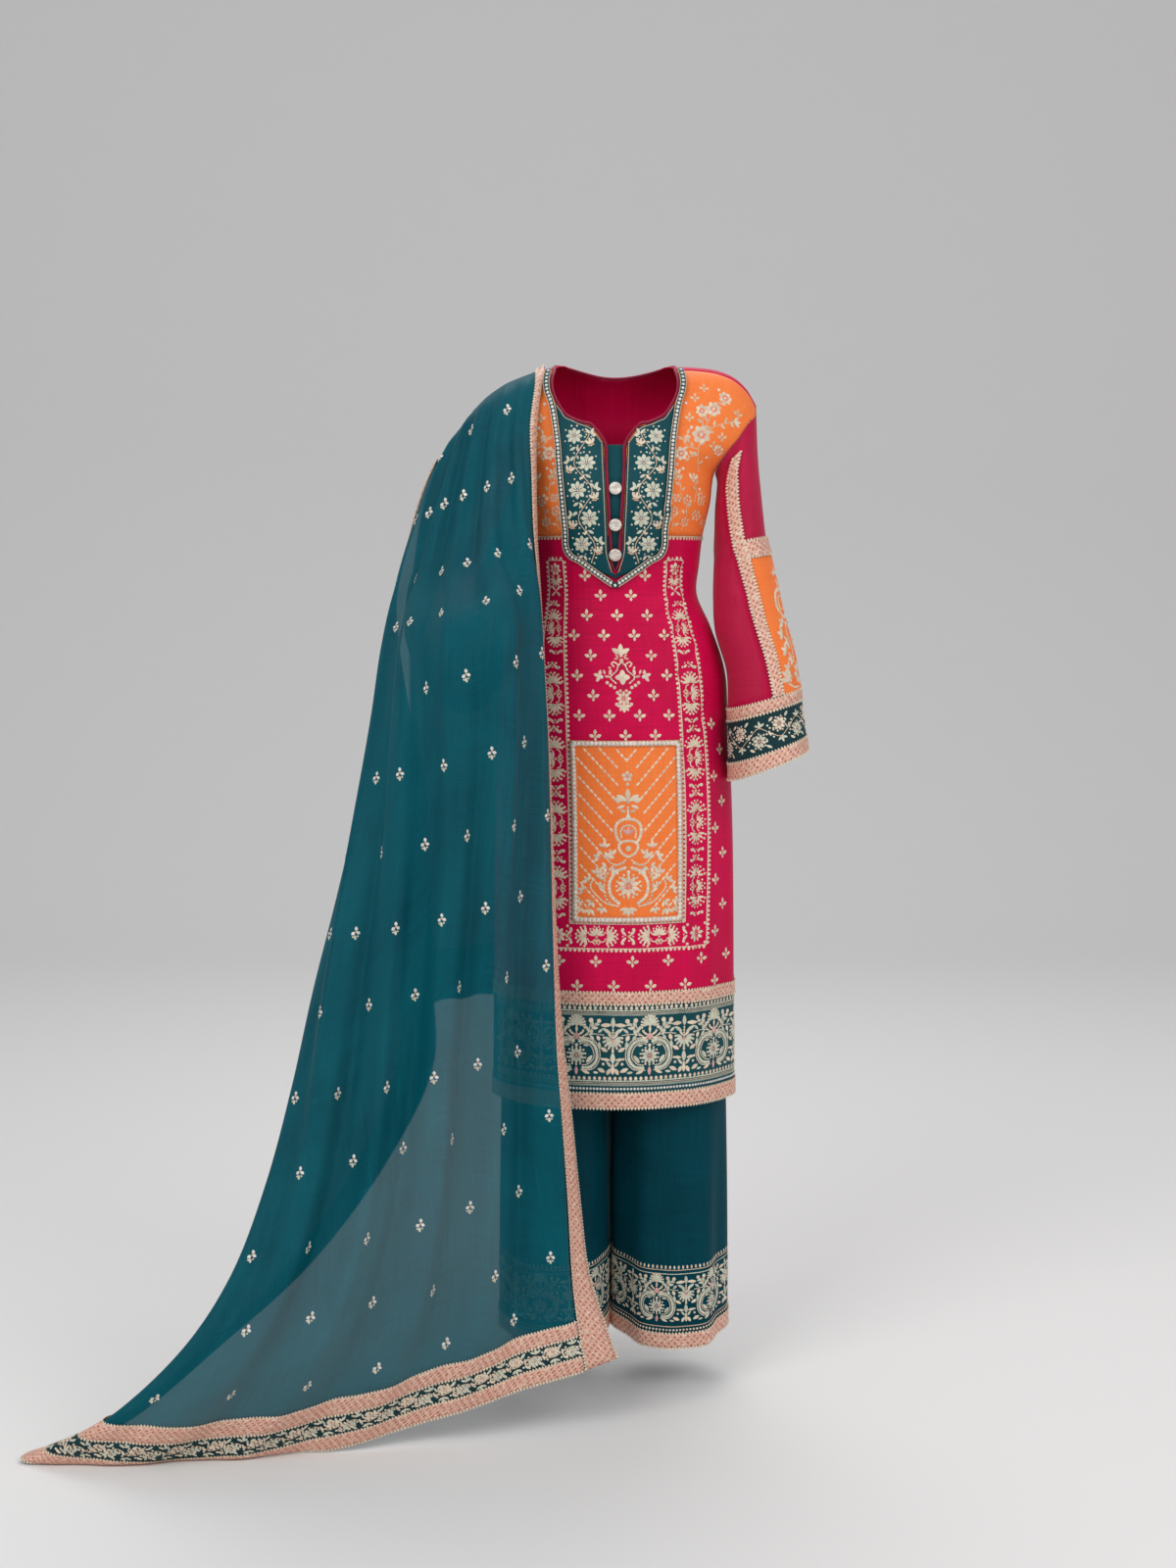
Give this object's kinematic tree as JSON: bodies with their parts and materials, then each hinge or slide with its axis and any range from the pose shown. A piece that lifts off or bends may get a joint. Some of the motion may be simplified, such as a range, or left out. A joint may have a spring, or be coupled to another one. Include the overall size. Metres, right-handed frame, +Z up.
{
  "type": "salwar kameez suit",
  "caption": "Straight long kameez with a tucked button placket and sheer three-quarter sleeves, palazzo trousers and a sheer bordered dupatta over one shoulder, holding its worn shape",
  "frame": {"origin": "middle of the wearer's body at the height of the neck points, where the shoulders carry the suit", "axes": "+Z is up, the front of the suit faces -Y, and the wearer's left is at +X"},
  "size_m": [1.0916, 0.572, 1.5056],
  "materials": {
    "magenta_silk": "smooth silk with a soft sheen",
    "magenta_sheer": "sheer georgette",
    "orange_silk": "smooth silk, embroidered",
    "teal_silk": "smooth silk with a soft sheen",
    "teal_sheer": "sheer georgette",
    "dark_band": "embroidered band",
    "gold_lace": "woven metallic lace",
    "pearl_trim": "beaded lace",
    "maroon_piping": "satin piping",
    "pearl_button": "pearly"
  },
  "bodies": {
    "root": {"button_1": "pearl_button", "button_2": "pearl_button", "button_3": "pearl_button", "cuff_band_left": "dark_band", "cuff_band_right": "dark_band", "cuff_lace_low_left": "gold_lace", "cuff_lace_low_right": "gold_lace", "cuff_lace_top_left": "gold_lace", "cuff_lace_top_right": "gold_lace", "dupatta_back": "teal_sheer", "dupatta_front": "teal_sheer", "dupatta_turn_back": "teal_sheer", "dupatta_turn_front": "teal_sheer", "dupatta_band_back": "dark_band", "dupatta_band_front": "dark_band", "dupatta_lace_free": "gold_lace", "dupatta_lace_inner": "gold_lace", "dupatta_lace_low_back": "gold_lace", "dupatta_lace_low_front": "gold_lace", "dupatta_lace_top_back": "gold_lace", "dupatta_lace_top_front": "gold_lace", "front_patch": "orange_silk", "hem_band_back": "teal_silk", "hem_band_front": "teal_silk", "hem_lace_low_back": "gold_lace", "hem_lace_low_front": "gold_lace", "hem_lace_top_back": "gold_lace", "hem_lace_top_front": "gold_lace", "kameez_back": "magenta_silk", "kameez_front": "magenta_silk", "neck_lace_left": "pearl_trim", "neck_lace_right": "pearl_trim", "neck_panel_left": "teal_silk", "neck_panel_right": "teal_silk", "neck_piping": "maroon_piping", "patch_lace": "pearl_trim", "placket": "teal_silk", "sleeve_lace_left": "gold_lace", "sleeve_lace_right": "gold_lace", "sleeve_lower_left": "magenta_sheer", "sleeve_upper_left": "magenta_sheer", "sleeve_panel_left": "orange_silk", "sleeve_panel_right": "orange_silk", "sleeve_lower_right": "magenta_sheer", "sleeve_upper_right": "magenta_sheer", "trouser_lace_left": "gold_lace", "trouser_lace_right": "gold_lace", "trouser_left": "teal_silk", "trouser_right": "teal_silk", "waistband": "teal_silk", "yoke_left": "orange_silk", "yoke_right": "orange_silk"}
  },
  "joints": []
}
